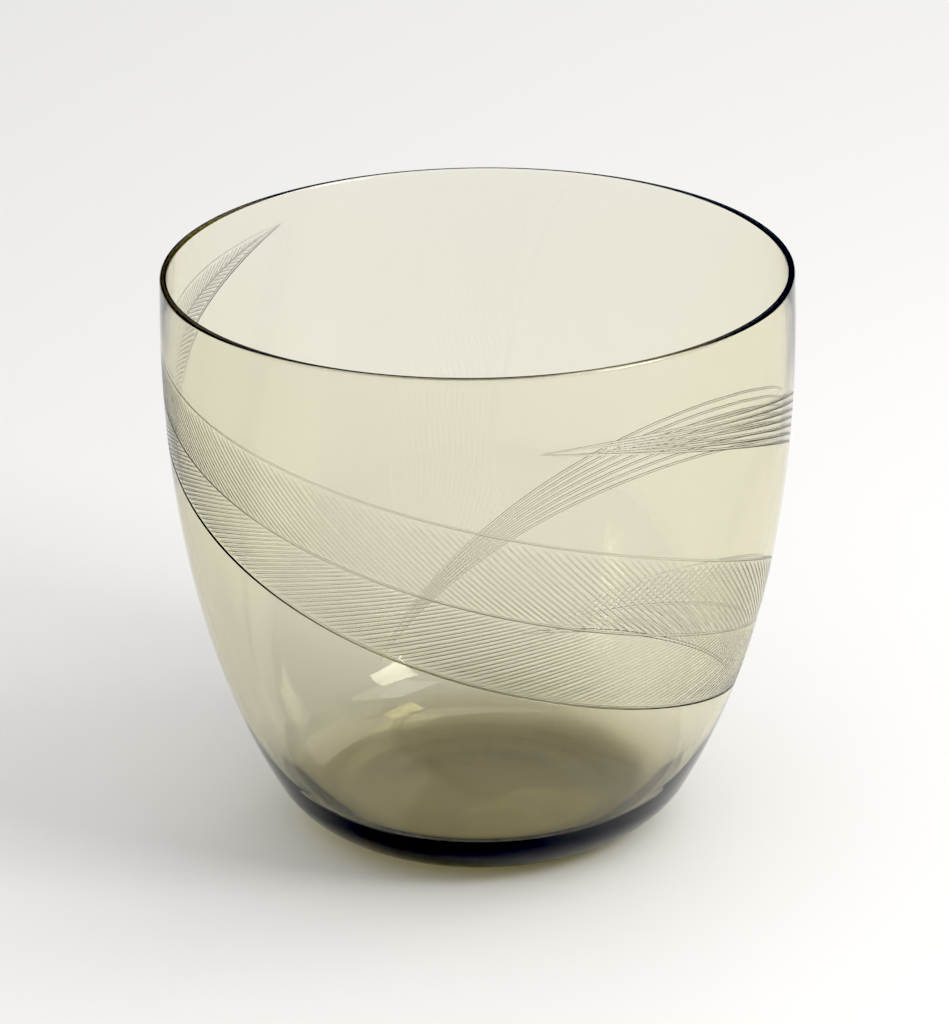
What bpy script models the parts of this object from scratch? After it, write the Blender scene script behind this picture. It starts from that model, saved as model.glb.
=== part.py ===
"""Mixing glass: one wide tumbler of smoke-tinted glass, blown in one piece.

The glass is a turned shape. Its outer wall falls almost straight from the mouth, then
curves in to a rounded corner and a small resting ring. The centre of the foot is ground
slightly hollow. The inside floor is a shallow bowl that runs smoothly into the inner wall,
the wall is nearly even in thickness, and the lip is a fire-polished half round.
+Z is up and the origin is the centre of the resting ring, on the table.

All sizes are in metres.
"""
import math

import bpy

# Driving dimensions.
HEIGHT = 0.1027            # table to the top of the lip
MOUTH_RADIUS = 0.0550      # outside of the lip
LIP_WALL = 0.0013          # wall thickness at the lip
BASE_THICKNESS = 0.0054    # glass between the resting plane and the inside floor
CORNER_RADIUS = 0.0173     # rounding between the foot and the outer wall
WALL_LEAN = math.radians(28)   # lean of both walls from vertical where they meet the base
WALL_FOOT_RADIUS = 0.0376  # outer wall where it meets the corner rounding
WALL_GUIDE = 0.0080        # both walls follow their lean over about this length
UPPER_GUIDE = 0.43         # height of the outer wall's upper guide point, as a share of the height
BELLY = 0.0022             # how far that guide point stands outside the lip
INNER_UPPER_GUIDE = 0.47   # the same two numbers for the inner wall
INNER_BELLY = 0.0012
FLOOR_GUIDE = 0.0340       # how far out the inside floor stays nearly level
BOWL_HEIGHT = 0.0150       # where the inside floor's curve ends and the inner wall starts
BOWL_RADIUS = 0.0389       # inside radius at that height
BOWL_GUIDE = 0.0100        # the floor's curve follows the wall's lean over about this length
HOLLOW_RADIUS = 0.0170     # the ground hollow under the foot
HOLLOW_DEPTH = 0.0005

# Fineness of the turned mesh.
STEPS = 72
LIP_POINTS = 6
WALL_POINTS = 14
CORNER_POINTS = 8
FLOOR_POINTS = 12
HOLLOW_POINTS = 4
MERGE_DISTANCE = 0.00001


def clear_scene():
    """Remove every object of the start-up scene."""
    for item in list(bpy.data.objects):
        bpy.data.objects.remove(item, do_unlink=True)


def bezier(start, first_guide, second_guide, end, count):
    """Points along a cubic curve, both ends included, as (radius, height) pairs."""
    points = []
    for i in range(count + 1):
        t = i / count
        weights = ((1 - t) ** 3, 3 * t * (1 - t) ** 2, 3 * t * t * (1 - t), t ** 3)
        corners = (start, first_guide, second_guide, end)
        radius = sum(w * corner[0] for w, corner in zip(weights, corners))
        height = sum(w * corner[1] for w, corner in zip(weights, corners))
        points.append((radius, height))
    return points


def arc(centre, radius, start_angle, end_angle, count):
    """Points along a circular arc, both ends included; angles are from the +radius axis."""
    points = []
    for i in range(count + 1):
        angle = start_angle + (end_angle - start_angle) * i / count
        points.append((centre[0] + radius * math.cos(angle), centre[1] + radius * math.sin(angle)))
    return points


def along_lean(point, distance):
    """The point a distance up the wall's lean from another; down if it is negative."""
    return (point[0] + distance * math.sin(WALL_LEAN), point[1] + distance * math.cos(WALL_LEAN))


def outer_profile():
    """The outside, from the edge of the lip's rounding down to the middle of the foot."""
    lip_radius = LIP_WALL / 2
    start = (MOUTH_RADIUS, HEIGHT - lip_radius)
    upper_guide = (MOUTH_RADIUS + BELLY, UPPER_GUIDE * HEIGHT)
    corner_centre = (WALL_FOOT_RADIUS - CORNER_RADIUS * math.cos(WALL_LEAN), CORNER_RADIUS)
    end = (WALL_FOOT_RADIUS, CORNER_RADIUS * (1 - math.sin(WALL_LEAN)))
    wall = bezier(start, upper_guide, along_lean(end, WALL_GUIDE), end, WALL_POINTS)
    corner = arc(corner_centre, CORNER_RADIUS, -WALL_LEAN, -math.pi / 2, CORNER_POINTS)
    hollow = []
    for i in range(HOLLOW_POINTS + 1):
        share = i / HOLLOW_POINTS
        hollow.append((HOLLOW_RADIUS * (1 - share), HOLLOW_DEPTH * (1 - (1 - share) ** 2)))
    return wall + corner[1:] + hollow


def inner_profile():
    """The inside, from the middle of its floor up to the edge of the lip's rounding."""
    start = (BOWL_RADIUS, BOWL_HEIGHT)
    level_guide = (FLOOR_GUIDE, BASE_THICKNESS)
    floor = bezier((0.0, BASE_THICKNESS), level_guide, along_lean(start, -BOWL_GUIDE), start, FLOOR_POINTS)
    end = (MOUTH_RADIUS - LIP_WALL, HEIGHT - LIP_WALL / 2)
    upper_guide = (end[0] + INNER_BELLY, INNER_UPPER_GUIDE * HEIGHT)
    wall = bezier(start, along_lean(start, WALL_GUIDE), upper_guide, end, WALL_POINTS)
    return floor + wall[1:]


def lip_profile():
    """The lip's half round, from the inner wall over the top towards the outer wall."""
    centre = (MOUTH_RADIUS - LIP_WALL / 2, HEIGHT - LIP_WALL / 2)
    return arc(centre, LIP_WALL / 2, math.pi, 0, LIP_POINTS)[1:-1]


def turned_object(name, profile):
    """Turn a profile about the Z axis with a Screw modifier; both its ends are on the axis."""
    mesh = bpy.data.meshes.new(name)
    edges = [(i, i + 1) for i in range(len(profile) - 1)]
    mesh.from_pydata([(radius, 0, height) for radius, height in profile], edges, [])
    turned = bpy.data.objects.new(name, mesh)
    screw = turned.modifiers.new("Turn", "SCREW")
    screw.axis = "Z"
    screw.angle = math.tau
    screw.steps = STEPS
    screw.render_steps = STEPS
    screw.use_merge_vertices = True
    screw.merge_threshold = MERGE_DISTANCE
    screw.use_smooth_shade = True
    return turned


def smoke_glass():
    """Smoke-tinted clear glass."""
    material = bpy.data.materials.new("smoke_glass")
    material.use_nodes = True
    shader = material.node_tree.nodes["Principled BSDF"]
    shader.inputs["Base Color"].default_value = (0.62, 0.59, 0.44, 1)
    shader.inputs["Roughness"].default_value = 0.02
    shader.inputs["Metallic"].default_value = 0
    shader.inputs["Transmission Weight"].default_value = 1
    shader.inputs["IOR"].default_value = 1.52
    return material


def build():
    """Make the glass and put it in the object's collection."""
    clear_scene()
    collection = bpy.data.collections.new("mixing_glass")
    bpy.context.scene.collection.children.link(collection)
    glass = turned_object("glass_vessel", inner_profile() + lip_profile() + outer_profile())
    glass.data.materials.append(smoke_glass())
    collection.objects.link(glass)


build()
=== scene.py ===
"""Looks of the mixing glass: one blown vessel of smoke-tinted glass with cut decoration.

The outer wall is meshed around every cut line, so the feather and the ribbon are real
grooves in the glass. The lip, the inside, the corner and the ground foot are turned.
Lengths are in metres. Angles round the glass start at the front (-Y) and grow towards +X.
"""
import math
import random

import bpy
import numpy as np
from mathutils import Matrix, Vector
from mathutils.geometry import delaunay_2d_cdt
from mathutils.kdtree import KDTree


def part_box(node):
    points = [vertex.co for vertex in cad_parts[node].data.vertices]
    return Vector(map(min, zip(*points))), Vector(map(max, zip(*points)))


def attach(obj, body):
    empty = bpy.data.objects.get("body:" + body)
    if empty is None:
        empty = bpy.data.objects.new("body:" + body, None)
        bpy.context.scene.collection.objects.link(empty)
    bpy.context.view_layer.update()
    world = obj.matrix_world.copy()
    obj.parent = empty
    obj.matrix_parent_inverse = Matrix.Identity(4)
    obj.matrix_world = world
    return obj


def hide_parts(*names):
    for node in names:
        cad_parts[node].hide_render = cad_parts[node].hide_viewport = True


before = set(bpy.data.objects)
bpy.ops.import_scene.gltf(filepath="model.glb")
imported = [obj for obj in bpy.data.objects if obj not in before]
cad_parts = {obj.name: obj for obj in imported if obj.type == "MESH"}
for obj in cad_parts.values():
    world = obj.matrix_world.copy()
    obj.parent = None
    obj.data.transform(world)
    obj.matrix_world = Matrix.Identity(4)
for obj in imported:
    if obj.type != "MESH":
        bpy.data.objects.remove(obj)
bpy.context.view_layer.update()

NODE = "glass_vessel"
MM = 0.001

# ---------------------------------------------------------------- driving dimensions
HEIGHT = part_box(NODE)[1][2]
MOUTH_RADIUS = 55.0 * MM       # outside of the lip
LIP_WALL = 1.3 * MM
BASE_THICKNESS = 5.4 * MM
CORNER_RADIUS = 17.3 * MM      # rounding between the foot and the outer wall
WALL_LEAN = math.radians(28)   # lean of both walls where they meet the base
WALL_FOOT_RADIUS = 37.6 * MM   # outer wall where it meets the corner rounding
WALL_GUIDE = 8.0 * MM          # both walls follow their lean over about this length
UPPER_GUIDE = 0.43             # height of the outer wall's upper guide point, as a share
BELLY = 2.2 * MM               # how far that guide point stands outside the lip
INNER_UPPER_GUIDE = 0.47       # the same two numbers for the inner wall
INNER_BELLY = 1.2 * MM
FLOOR_GUIDE = 34.0 * MM        # how far out the inside floor stays nearly level
BOWL_HEIGHT = 15.0 * MM        # where the floor's curve ends and the inner wall starts
BOWL_RADIUS = 38.9 * MM        # inside radius at that height
BOWL_GUIDE = 10.0 * MM         # the floor's curve follows the lean over about this length
HOLLOW_RADIUS = 17.0 * MM      # the ground hollow under the foot
HOLLOW_DEPTH = 0.5 * MM

# Fineness of the mesh.
STEPS = 256                    # facets round the glass
WALL_ROWS = 44                 # rows of points up the plain outer wall
SEAM = -145.0                  # angle where the unrolled wall is joined, clear of all cuts
CLEAR_OF_CUTS = 0.95 * MM      # how near a cut the plain wall's points may come
SHALLOW = 0.001 * MM           # less depth than this is plain wall

# The decoration: a feather-like band and a ribbon of lines, both swelling in the middle.
# Ends are (degrees round the glass, millimetres above the table).
FEATHER_START = (-140, 97)
FEATHER_END = (170, 16)
FEATHER_SIDE = 15              # millimetres from the rib to either edge, in the middle
RIBBON_START = (10, 89)
RIBBON_END = (210, 13)
RIBBON_SIDE = 5                # millimetres from the ribbon's middle to either side
RIBBON_INSETS = (0, 5, 8, 10, 8, 5, 0)   # samples left off both ends of each ribbon line

# Each long cut's half width, its depth, and the share of it over which its ends run out.
RIB_CUT = (0.25 * MM, 0.12 * MM, 0.06)
TOP_CUT = (0.22 * MM, 0.08 * MM, 0.25)
LOW_CUT = (0.36 * MM, 0.25 * MM, 0.04)
RIBBON_CUT = (0.23 * MM, 0.16 * MM, 0.05)

# The feather's barbs.
BARB_RUN_OUT = 0.12
BARB_ANGLE_AT_RIB = math.radians(27)
BARB_ANGLE_AT_EDGE = math.radians(33)
TIP_REGION = np.radians((-125, -90))
TIP_TURN = math.radians(8)     # the barbs lie closer to the rib near the feather's tip
BARB_STEP = 0.5 * MM
LONGEST_BARB = 400             # steps
EDGE_GAP = 0.25 * MM           # between a barb's end and the edge's middle line
UPPER_PITCH = 1.72 * MM        # between barbs, along the rib
LOWER_PITCH = 1.54 * MM
UPPER_BARB_HALF = 0.20 * MM
LOWER_BARB_HALF = 0.19 * MM
LOWER_BARB_SWELL = (0.8, 1.25)   # the lower barbs grow from the rib to the edge

# How deep the barbs are cut at some angles round the glass: (degrees, millimetres).
UPPER_DEPTH = [(-130, 0.035), (-90, 0.060), (-65, 0.050), (-45, 0.080), (100, 0.085)]
LOWER_DEPTH = [(-130, 0.050), (-80, 0.095), (-35, 0.065), (0, 0.080), (25, 0.045),
               (60, 0.050), (90, 0.090)]

# Glass, floor and light.
TINT = (0.70, 0.65, 0.285, 1)
TINT_DENSITY = 206.0           # per metre
CUT_ROUGHNESS = 0.25
WAVE_SCALE = 60.0              # hand-blown glass is slightly wavy
WAVE_HEIGHT = 0.05 * MM
FLOOR = -0.2 * MM              # the floor's height, just under the foot
FLOOR_REACH = 4.0
FLOOR_COLOUR = (0.865, 0.855, 0.83)
LIGHT = 0.81                   # overall brightness of the lamps and the room
BLACK_LEVEL = (0.060, 0.057, 0.047)   # dark glass turns almost black, faintly blue


# ---------------------------------------------------------------- profile
def bezier(points, count):
    """Points along a cubic curve as rows of (radius, height)."""
    t = np.linspace(0, 1, count + 1)[:, None]
    a, b, c, d = (np.array(p) for p in points)
    return (1 - t) ** 3 * a + 3 * t * (1 - t) ** 2 * b + 3 * t * t * (1 - t) * c + t ** 3 * d


def arc(centre, radius, start, end, count):
    """Points along a circular arc as rows of (radius, height)."""
    angle = np.linspace(start, end, count + 1)
    return np.stack([centre[0] + radius * np.cos(angle), centre[1] + radius * np.sin(angle)], 1)


def along_lean(point, distance):
    """The point a distance up the wall's lean from another; down if it is negative."""
    return (point[0] + distance * math.sin(WALL_LEAN), point[1] + distance * math.cos(WALL_LEAN))


def outer_wall(count):
    """The outer wall from the lip's rounding down to the corner's rounding."""
    start = (MOUTH_RADIUS, HEIGHT - LIP_WALL / 2)
    upper_guide = (MOUTH_RADIUS + BELLY, UPPER_GUIDE * HEIGHT)
    end = (WALL_FOOT_RADIUS, CORNER_RADIUS * (1 - math.sin(WALL_LEAN)))
    return bezier((start, upper_guide, along_lean(end, WALL_GUIDE), end), count)


def foot_profile():
    """The outer corner and the foot, from the wall's lower end to the middle."""
    centre = (WALL_FOOT_RADIUS - CORNER_RADIUS * math.cos(WALL_LEAN), CORNER_RADIUS)
    corner = arc(centre, CORNER_RADIUS, -WALL_LEAN, -math.pi / 2, 28)
    share = np.linspace(0, 1, 9)
    hollow = np.stack([HOLLOW_RADIUS * (1 - share), HOLLOW_DEPTH * (1 - (1 - share) ** 2)], 1)
    ring = np.linspace(corner[-1][0], HOLLOW_RADIUS, 4)[1:-1]
    ring = np.stack([ring, np.zeros(len(ring))], 1)
    return np.vstack([corner, ring, hollow])


def inside_profile():
    """The inside from the middle of its floor up and over the lip."""
    start = (BOWL_RADIUS, BOWL_HEIGHT)
    level_guide = (FLOOR_GUIDE, BASE_THICKNESS)
    floor = bezier(((0, BASE_THICKNESS), level_guide, along_lean(start, -BOWL_GUIDE), start), 40)
    end = (MOUTH_RADIUS - LIP_WALL, HEIGHT - LIP_WALL / 2)
    upper_guide = (end[0] + INNER_BELLY, INNER_UPPER_GUIDE * HEIGHT)
    wall = bezier((start, along_lean(start, WALL_GUIDE), upper_guide, end), 48)
    lip_centre = (MOUTH_RADIUS - LIP_WALL / 2, HEIGHT - LIP_WALL / 2)
    lip = arc(lip_centre, LIP_WALL / 2, math.pi, 0, 12)
    return np.vstack([floor, wall[1:], lip[1:]])


def profile_normals(points):
    """Unit normals of a profile, on its right-hand side as it is walked."""
    tangent = np.gradient(points, axis=0)
    normal = np.stack([tangent[:, 1], -tangent[:, 0]], 1)
    return normal / np.linalg.norm(normal, axis=1)[:, None]


# The wall unrolls without distortion on the plane of (angle, rise), where a small step
# times the local radius is its true length.
WALL = outer_wall(600)[::-1]
WALL_STEP = np.linalg.norm(np.diff(WALL, axis=0), axis=1)
WALL_RISE = np.concatenate([[0], np.cumsum(WALL_STEP / (0.5 * (WALL[1:, 0] + WALL[:-1, 0])))])
WALL_NORMAL = -profile_normals(WALL)
WALL_NORMAL *= np.sign(WALL_NORMAL[:, :1])


def rise_of(height):
    """The rise of the outer wall at a height."""
    return np.interp(height, WALL[:, 1], WALL_RISE)


def wall_at(rise):
    """Radius, height and profile normal of the outer wall at a rise."""
    values = (WALL[:, 0], WALL[:, 1], WALL_NORMAL[:, 0], WALL_NORMAL[:, 1])
    return [np.interp(rise, WALL_RISE, v) for v in values]


# ---------------------------------------------------------------- cut decoration
def band_line(start, end, side, droop, count):
    """A line between two ends, bowed sideways, on the unrolled wall.

    The bow is a half sine wave. With no droop the line falls evenly; with a droop of one
    it leaves its start level and falls ever faster, as a quarter cosine.
    """
    share = np.linspace(0, 1, count + 1)
    angle = np.radians(start[0] + (end[0] - start[0]) * share)
    fall = (1 - droop) * share + droop * (1 - np.cos(share * math.pi / 2))
    height = start[1] + (end[1] - start[1]) * fall + side * np.sin(math.pi * share)
    return np.stack([angle, rise_of(height * MM)], 1)


def depth_at(line, depths):
    """The cutting depth along a line."""
    angle, depth = zip(*depths)
    return np.interp(line[:, 0], np.radians(angle), np.array(depth) * MM)


class Cut:
    """A groove: its middle line, unrolled, with a half width and a depth at each point."""

    def __init__(self, line, half_width, depth, run_out=BARB_RUN_OUT):
        self.line = line
        share = np.linspace(0, 1, len(line))
        ease = np.clip(np.minimum(share, 1 - share) / run_out, 0.0, 1.0) ** 0.5
        self.half = np.maximum(half_width * ease, 0.02 * MM)
        self.depth = np.maximum(depth * ease, 0.002 * MM)
        tangent = np.gradient(line, axis=0)
        self.tangent = tangent / np.linalg.norm(tangent, axis=1)[:, None]


def barb(start, heading, turn, edge, side):
    """One line from the rib towards an edge of the feather, walked in small steps."""
    edge_angle, edge_rise = edge[:, 0], edge[:, 1]
    points = [start]
    point = start.copy()
    total = max(abs(np.interp(start[0], edge_angle, edge_rise) - start[1]), 1e-4)
    for _ in range(LONGEST_BARB):
        gap = abs(np.interp(point[0], edge_angle, edge_rise) - point[1])
        share = 1 - min(gap / total, 1)
        angle = BARB_ANGLE_AT_RIB + (BARB_ANGLE_AT_EDGE - BARB_ANGLE_AT_RIB) * share + turn
        angle -= np.interp(start[0], TIP_REGION, (TIP_TURN, 0))
        # The feather's rib runs towards smaller angles, so the upper vane is on its right.
        direction = heading - side * angle
        step = BARB_STEP / wall_at(point[1])[0]
        point = point + step * np.array([math.cos(direction), math.sin(direction)])
        left = side * (np.interp(point[0], edge_angle, edge_rise) - point[1])
        if left < EDGE_GAP / MOUTH_RADIUS or point[0] < edge_angle[0]:
            break
        points.append(point)
    return np.array(points)


def barbs(rib, edge, side, pitch, draw):
    """Lines from the rib to one edge of the feather, swept towards its tip."""
    radius = wall_at(rib[:, 1])[0]
    steps = np.linalg.norm(np.diff(rib, axis=0), axis=1) * 0.5 * (radius[1:] + radius[:-1])
    along = np.concatenate([[0], np.cumsum(steps)])
    lines = []
    for i in range(1, int(along[-1] / pitch)):
        start_at = (i + draw.uniform(-0.02, 0.02)) * pitch
        start = np.array([np.interp(start_at, along, rib[:, k]) for k in (0, 1)])
        ahead = np.array([np.interp(start_at - 1 * MM, along, rib[:, k]) for k in (0, 1)])
        heading = math.atan2(ahead[1] - start[1], ahead[0] - start[0])
        line = barb(start, heading, draw.uniform(-0.004, 0.004), edge, side)
        if len(line) > 3:
            lines.append(line)
    return lines


def feather_cuts():
    """The rib, both edges and both rows of barbs."""
    draw = random.Random(7)
    rib = band_line(FEATHER_START, FEATHER_END, 0, 0, 230)
    top = band_line(FEATHER_START, FEATHER_END, FEATHER_SIDE, 0, 230)
    low = band_line(FEATHER_START, FEATHER_END, -FEATHER_SIDE, 0, 230)
    cuts = [Cut(rib, *RIB_CUT), Cut(top, *TOP_CUT), Cut(low, *LOW_CUT)]
    for line in barbs(rib, top, 1, UPPER_PITCH, draw):
        cuts.append(Cut(line, UPPER_BARB_HALF, depth_at(line, UPPER_DEPTH)))
    for line in barbs(rib, low, -1, LOWER_PITCH, draw):
        swell = np.linspace(*LOWER_BARB_SWELL, len(line))
        cuts.append(Cut(line, LOWER_BARB_HALF * swell, depth_at(line, LOWER_DEPTH) * swell))
    return cuts


def ribbon_cuts():
    """Lines evenly spread between the ribbon's two sides."""
    upper = band_line(RIBBON_START, RIBBON_END, RIBBON_SIDE, 1, 150)
    lower = band_line(RIBBON_START, RIBBON_END, -RIBBON_SIDE, 1, 150)
    cuts = []
    for i, inset in enumerate(RIBBON_INSETS):
        line = upper + (lower - upper) * (i / (len(RIBBON_INSETS) - 1))
        cuts.append(Cut(line[inset:len(line) - inset], *RIBBON_CUT))
    return cuts


# ---------------------------------------------------------------- outer wall mesh
class CutField:
    """Finds the groove that an unrolled point lies in, from samples along every groove."""

    REACH = 0.25 * MM
    SPACING = 0.2 * MM

    def __init__(self, cuts):
        rows = []
        for cut in cuts:
            data = np.column_stack([cut.line, cut.tangent, cut.half, cut.depth])
            radius = wall_at(cut.line[:, 1])[0]
            gaps = np.linalg.norm(np.diff(cut.line, axis=0), axis=1) * radius[1:]
            parts = max(2, math.ceil(gaps.max() / self.SPACING))
            for k in range(parts):
                rows.append(data[:-1] * (1 - k / parts) + data[1:] * (k / parts))
        table = np.vstack(rows)
        self.place = table[:, 0:2]
        self.tangent = table[:, 2:4]
        self.half = table[:, 4]
        self.depth = table[:, 5]
        self.tree = KDTree(len(table))
        for i, (a, b) in enumerate(self.place):
            self.tree.insert((a, b, 0), i)
        self.tree.balance()

    def offset(self, points, owner):
        """Signed distances across the owning grooves, in metres."""
        delta = points - self.place[owner]
        tangent = self.tangent[owner]
        radius = wall_at(points[:, 1])[0]
        return (delta[:, 1] * tangent[:, 0] - delta[:, 0] * tangent[:, 1]) * radius

    def depths(self, points, owner):
        """How deep the owning grooves are at each point."""
        ratio = self.offset(points, owner) / self.half[owner]
        return self.depth[owner] * np.maximum(1 - ratio ** 2, 0)

    def owners(self, points, neighbours=6):
        """The sample of the deepest groove at each point and its depth; -1 and 0 on plain wall."""
        best = np.zeros(len(points))
        owner = np.full(len(points), -1)
        radius = wall_at(points[:, 1])[0]
        found = np.array([[hit[1] for hit in self.tree.find_n((a, b, 0), neighbours)]
                          for a, b in points])
        for column in found.T:
            delta = points - self.place[column]
            tangent = self.tangent[column]
            along = np.abs((delta * tangent).sum(axis=1)) * radius
            depth = self.depths(points, column)
            better = (depth > best) & (along < self.REACH)
            best[better] = depth[better]
            owner[better] = column[better]
        return owner, best


class FlatLines:
    """Points and edges on the unrolled wall that its triangles must keep."""

    def __init__(self):
        self.points, self.edges = [], []

    def chain(self, line):
        """Add a run of points joined one to the next."""
        first = len(self.points)
        self.points.extend(map(tuple, line))
        self.edges.extend((first + i, first + i + 1) for i in range(len(line) - 1))

    def border(self, left, right, top):
        """Add the wall's rectangle; both its sides have the same rows."""
        columns = np.linspace(left, right, STEPS + 1)
        rows = np.linspace(0, top, WALL_ROWS)
        for rise in (0, top):
            self.chain(np.stack([columns, np.full(STEPS + 1, rise)], 1))
        for angle, ends in ((left, (0, STEPS + 1)), (right, (STEPS, 2 * STEPS + 1))):
            first = len(self.points)
            self.points.extend((angle, rise) for rise in rows[1:-1])
            ids = [ends[0]] + list(range(first, len(self.points))) + [ends[1]]
            self.edges.extend(zip(ids[:-1], ids[1:]))

    def cut(self, cut):
        """Add both sides and the middle of a groove."""
        radius = wall_at(cut.line[:, 1])[0]
        across = np.stack([-cut.tangent[:, 1], cut.tangent[:, 0]], 1)
        shift = across * (cut.half / radius)[:, None]
        for line in (cut.line + shift, cut.line, cut.line - shift):
            self.chain(line)


def unrolled_mesh(cuts):
    """Triangles over the unrolled wall, with edges along both sides and the middle of each cut."""
    left = math.radians(SEAM)
    top = WALL_RISE[-1]
    lines = FlatLines()
    lines.border(left, left + math.tau, top)
    near = KDTree(sum(len(c.line) for c in cuts))
    for cut in cuts:
        lines.cut(cut)
        for a, b in cut.line:
            near.insert((a, b, 0), 0)
    near.balance()
    for j, rise in enumerate(np.linspace(0, top, WALL_ROWS)[1:-1]):
        radius = wall_at(rise)[0]
        offset = 0.5 * (j % 2)
        for i in range(STEPS):
            angle = left + (i + offset) * math.tau / STEPS
            if i + offset and near.find((angle, rise, 0))[2] * radius > CLEAR_OF_CUTS:
                lines.points.append((angle, rise))
    flat = [Vector(p) for p in lines.points]
    verts, _, faces, _, _, _ = delaunay_2d_cdt(flat, lines.edges, [], 0, 1e-9, False)
    return np.array([tuple(v) for v in verts]), faces


class MeshParts:
    """Collects faces with their corner normals, and builds one mesh of them."""

    WELD = 0.5e-6

    def __init__(self):
        self.points, self.faces, self.normals, self.ground = [], [], [], []
        self.count = 0

    def add(self, points, faces, corner_normals, ground=None):
        self.points.append(points)
        self.faces.extend([int(i) + self.count for i in face] for face in faces)
        self.normals.extend(corner_normals)
        self.ground.extend(ground if ground is not None else [0.0] * len(faces))
        self.count += len(points)

    def build(self, name):
        """Weld what coincides, drop faces that collapse, and keep each corner's normal."""
        points = np.vstack(self.points)
        key = np.round(points / self.WELD).astype(np.int64)
        _, first, back = np.unique(key, axis=0, return_index=True, return_inverse=True)
        back = back.reshape(-1)
        faces, normals, ground = [], [], []
        cursor = 0
        for face, cut in zip(self.faces, self.ground):
            ids = [int(back[i]) for i in face]
            corner = self.normals[cursor:cursor + len(face)]
            cursor += len(face)
            keep = [k for k in range(len(ids)) if ids[k] != ids[k - 1]]
            if len({ids[k] for k in keep}) < 3:
                continue
            faces.append([ids[k] for k in keep])
            normals.extend(tuple(corner[k]) for k in keep)
            ground.append(cut)
        mesh = bpy.data.meshes.new(name)
        mesh.from_pydata(points[first].tolist(), [], faces)
        mesh.polygons.foreach_set("use_smooth", [True] * len(mesh.polygons))
        layer = mesh.attributes.new("ground", "FLOAT", "FACE")
        layer.data.foreach_set("value", np.array(ground, np.float32))
        mesh.update()
        mesh.normals_split_custom_set(normals)
        return mesh


def round_the_axis(profile, angle):
    """Turn (radius, height) rows about the axis: an array of rows, angles and coordinates."""
    radius, height = profile[:, :1], profile[:, 1:]
    ones = np.ones(len(angle))
    return np.stack([radius * np.sin(angle), -radius * np.cos(angle), height * ones], 2)


def add_turned(parts, profile):
    """Add a turned stretch whose outside is on the right as the profile is walked upwards."""
    angle = math.radians(SEAM) + np.arange(STEPS) * math.tau / STEPS
    points = round_the_axis(profile, angle).reshape(-1, 3)
    normals = round_the_axis(profile_normals(profile), angle).reshape(-1, 3)
    faces, corners = [], []
    for j in range(len(profile) - 1):
        for i in range(STEPS):
            k = (i + 1) % STEPS
            quad = (j * STEPS + i, j * STEPS + k, (j + 1) * STEPS + k, (j + 1) * STEPS + i)
            faces.append(quad)
            corners.extend(normals[list(quad)])
    parts.add(points, faces, corners)


def add_cut_wall(parts, cuts):
    """Add the outer wall with its grooves."""
    unrolled, faces = unrolled_mesh(cuts)
    field = CutField(cuts)
    left = math.radians(SEAM)
    edge = 1e-9
    border = ((unrolled[:, 1] < edge) | (unrolled[:, 1] > WALL_RISE[-1] - edge)
              | (unrolled[:, 0] < left + edge) | (unrolled[:, 0] > left + math.tau - edge))
    depth = np.where(border, 0, field.owners(unrolled)[1])
    angle = unrolled[:, 0]
    radius, height, normal_out, normal_up = wall_at(unrolled[:, 1])
    out = np.stack([np.sin(angle), -np.cos(angle), np.zeros(len(angle))], 1)
    up = np.array([0.0, 0.0, 1.0])
    normal = out * normal_out[:, None] + up * normal_up[:, None]
    east = np.stack([np.cos(angle), np.sin(angle), np.zeros(len(angle))], 1)
    north = np.cross(normal, east)
    points = out * radius[:, None] + up * height[:, None] - normal * depth[:, None]

    # Each groove is a shallow trough, so its normals lean across it by its slope.
    faces = np.array([face for face in faces if len(face) == 3])
    owner, face_depth = field.owners(unrolled[faces].mean(axis=1))
    cut = (owner >= 0) & (face_depth > SHALLOW)
    corner_ids = faces.reshape(-1)
    corner_owner = np.repeat(np.where(cut, owner, 0), 3)
    offset = field.offset(unrolled[corner_ids], corner_owner)
    half = field.half[corner_owner]
    slope = 2 * field.depth[corner_owner] * np.clip(offset, -half, half) / half ** 2
    slope = np.where(np.repeat(cut, 3), slope, 0)
    tangent = field.tangent[corner_owner]
    across = east[corner_ids] * -tangent[:, 1:] + north[corner_ids] * tangent[:, :1]
    corners = normal[corner_ids] - across * slope[:, None]
    corners /= np.linalg.norm(corners, axis=1)[:, None]
    parts.add(points, faces, corners, cut.astype(float))


def glass_vessel():
    """The whole vessel as one closed mesh."""
    parts = MeshParts()
    add_cut_wall(parts, feather_cuts() + ribbon_cuts())
    add_turned(parts, foot_profile()[::-1])
    add_turned(parts, inside_profile()[::-1])
    vessel = bpy.data.objects.new("cut_glass_vessel", parts.build("cut_glass_vessel"))
    bpy.context.scene.collection.objects.link(vessel)
    return vessel


# ---------------------------------------------------------------- materials
def new_material(name):
    """A new material with its node tree, main shader and output."""
    material = bpy.data.materials.new(name)
    material.use_nodes = True
    tree = material.node_tree
    return material, tree, tree.nodes["Principled BSDF"], tree.nodes["Material Output"]


def frost_the_cuts(tree, shader):
    """Make the ground faces slightly rough and leave the rest polished."""
    ground = tree.nodes.new("ShaderNodeAttribute")
    ground.attribute_name = "ground"
    rough = tree.nodes.new("ShaderNodeMapRange")
    rough.inputs["To Min"].default_value = 0.0
    rough.inputs["To Max"].default_value = CUT_ROUGHNESS
    tree.links.new(ground.outputs["Fac"], rough.inputs["Value"])
    tree.links.new(rough.outputs["Result"], shader.inputs["Roughness"])


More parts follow.
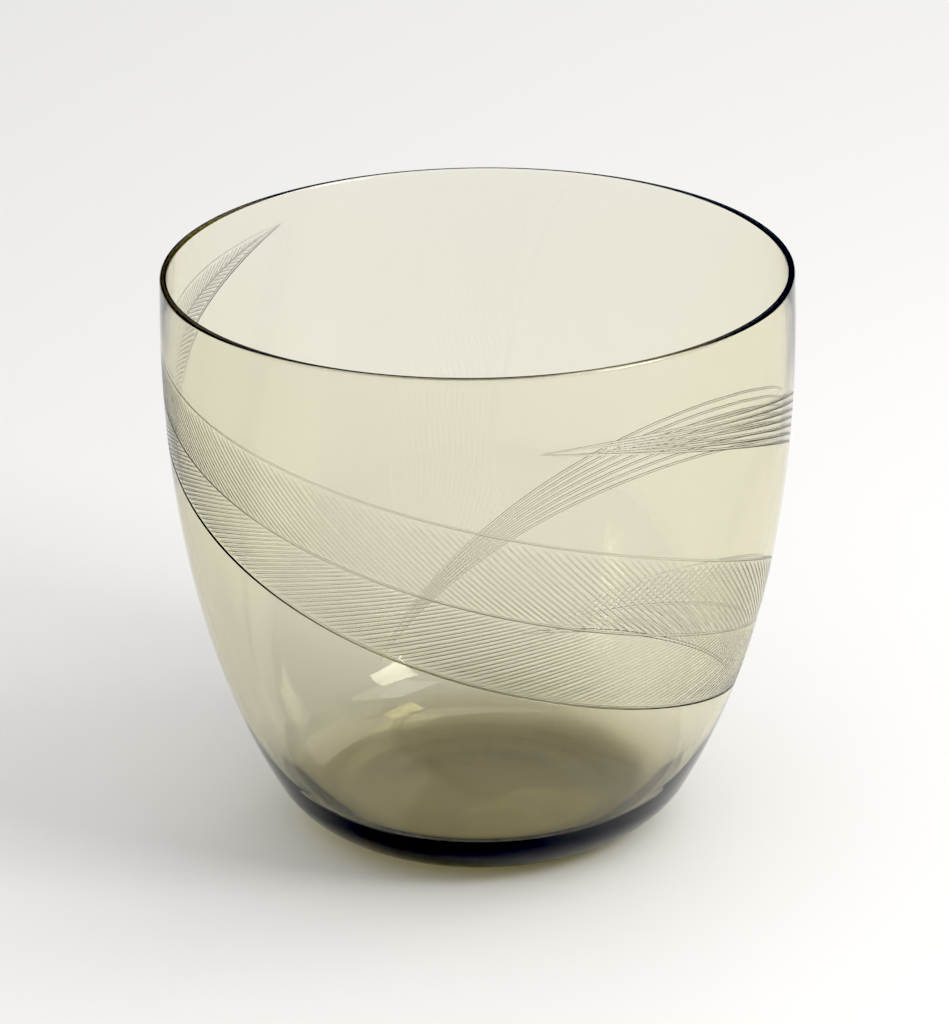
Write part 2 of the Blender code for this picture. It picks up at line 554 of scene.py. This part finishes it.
def add_waviness(tree, shader):
    """Make the surface very slightly wavy, in upright waves."""
    where = tree.nodes.new("ShaderNodeTexCoord")
    stretch = tree.nodes.new("ShaderNodeMapping")
    stretch.inputs["Scale"].default_value = (1, 1, 0.35)
    noise = tree.nodes.new("ShaderNodeTexNoise")
    noise.inputs["Scale"].default_value = WAVE_SCALE
    noise.inputs["Detail"].default_value = 1.0
    wave = tree.nodes.new("ShaderNodeBump")
    wave.inputs["Strength"].default_value = 1.0
    wave.inputs["Distance"].default_value = WAVE_HEIGHT
    tree.links.new(where.outputs["Object"], stretch.inputs["Vector"])
    tree.links.new(stretch.outputs["Vector"], noise.inputs["Vector"])
    tree.links.new(noise.outputs["Fac"], wave.inputs["Height"])
    tree.links.new(wave.outputs["Normal"], shader.inputs["Normal"])


def smoke_glass():
    """Clear glass with a smoke-olive body tint; the ground cuts are slightly frosted."""
    material, tree, shader, output = new_material("smoke_glass")
    shader.inputs["Base Color"].default_value = (1, 1, 1, 1)
    shader.inputs["Roughness"].default_value = 0.0
    shader.inputs["IOR"].default_value = 1.52
    shader.inputs["Transmission Weight"].default_value = 1.0
    frost_the_cuts(tree, shader)
    add_waviness(tree, shader)
    absorb = tree.nodes.new("ShaderNodeVolumeAbsorption")
    absorb.inputs["Color"].default_value = TINT
    absorb.inputs["Density"].default_value = TINT_DENSITY
    tree.links.new(absorb.outputs["Volume"], output.inputs["Volume"])
    return material


def pale_floor_material():
    """A plain matt pale surface."""
    material, _, shader, _ = new_material("pale_floor")
    shader.inputs["Base Color"].default_value = (*FLOOR_COLOUR, 1)
    shader.inputs["Roughness"].default_value = 0.7
    return material


# ---------------------------------------------------------------- stage
def make_floor():
    """A wide, plain pale floor just under the foot."""
    reach = FLOOR_REACH
    corners = [(-reach, -reach, FLOOR), (reach, -reach, FLOOR),
               (reach, reach, FLOOR), (-reach, reach, FLOOR)]
    mesh = bpy.data.meshes.new("pale_floor")
    mesh.from_pydata(corners, [], [(0, 1, 2, 3)])
    sheet = bpy.data.objects.new("pale_floor", mesh)
    bpy.context.scene.collection.objects.link(sheet)
    sheet.data.materials.append(pale_floor_material())


def softbox(name, place, size, power, colour=(1, 1, 1), aim=(0, 0, 0.05)):
    """A rectangular softbox that faces a point, the glass unless told otherwise."""
    light = bpy.data.lights.new(name, "AREA")
    light.shape = "RECTANGLE"
    light.size, light.size_y = size
    light.energy = power * LIGHT
    light.color = colour
    lamp = bpy.data.objects.new(name, light)
    lamp.location = place
    facing = Vector(aim) - Vector(place)
    lamp.rotation_euler = facing.to_track_quat("-Z", "Y").to_euler()
    bpy.context.scene.collection.objects.link(lamp)
    return lamp


def make_room():
    """A dim room that brightens smoothly overhead."""
    world = bpy.data.worlds.new("room")
    bpy.context.scene.world = world
    world.use_nodes = True
    tree = world.node_tree
    where = tree.nodes.new("ShaderNodeTexCoord")
    split = tree.nodes.new("ShaderNodeSeparateXYZ")
    tree.links.new(where.outputs["Generated"], split.inputs["Vector"])
    glow = tree.nodes.new("ShaderNodeMapRange")
    glow.interpolation_type = "SMOOTHSTEP"
    glow.inputs["From Min"].default_value = 0.10
    glow.inputs["From Max"].default_value = 0.75
    glow.inputs["To Min"].default_value = 0.10 * LIGHT
    glow.inputs["To Max"].default_value = 1.15 * LIGHT
    tree.links.new(split.outputs["Z"], glow.inputs["Value"])
    background = tree.nodes["Background"]
    background.inputs["Color"].default_value = (0.97, 0.975, 1.0, 1)
    tree.links.new(glow.outputs["Result"], background.inputs["Strength"])


def make_lamps():
    """A key light and a smaller window on the right, and a lamp that lights the floor behind."""
    softbox("key_softbox", (0.42, -0.06, 0.66), (0.42, 0.42), 1.8, colour=(1.0, 0.985, 0.96))
    softbox("window", (0.53, -0.32, 0.50), (0.27, 0.22), 2.8)
    behind = softbox("back_softbox", (0.25, 0.80, 0.60), (0.5, 0.4), 1.0, aim=(0.15, 0.60, 0))
    behind.visible_glossy = False


def make_camera():
    """The main view: from the front, looking down at the mouth."""
    camera = bpy.data.cameras.new("camera")
    camera.sensor_width = 36
    camera.lens = 178.5
    camera.clip_end = 20
    item = bpy.data.objects.new("camera", camera)
    item.location = (0.0, -0.8296, 0.3963)
    item.rotation_euler = [math.radians(a) for a in (67.745, 0.681, -0.209)]
    bpy.context.scene.collection.objects.link(item)
    bpy.context.scene.camera = item


def look_settings():
    """Plain colours with a slight black level, and enough bounces for clear glass."""
    scene = bpy.context.scene
    scene.view_settings.view_transform = "Standard"
    scene.view_settings.use_curve_mapping = True
    scene.view_settings.curve_mapping.black_level = BLACK_LEVEL
    scene.cycles.use_denoising = True
    scene.cycles.max_bounces = 24
    scene.cycles.transmission_bounces = 24
    scene.cycles.glossy_bounces = 12
    scene.cycles.caustics_reflective = True
    scene.cycles.caustics_refractive = True


vessel = glass_vessel()
vessel.data.materials.append(smoke_glass())
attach(vessel, "root")
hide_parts(NODE)
make_floor()
make_room()
make_lamps()
make_camera()
look_settings()
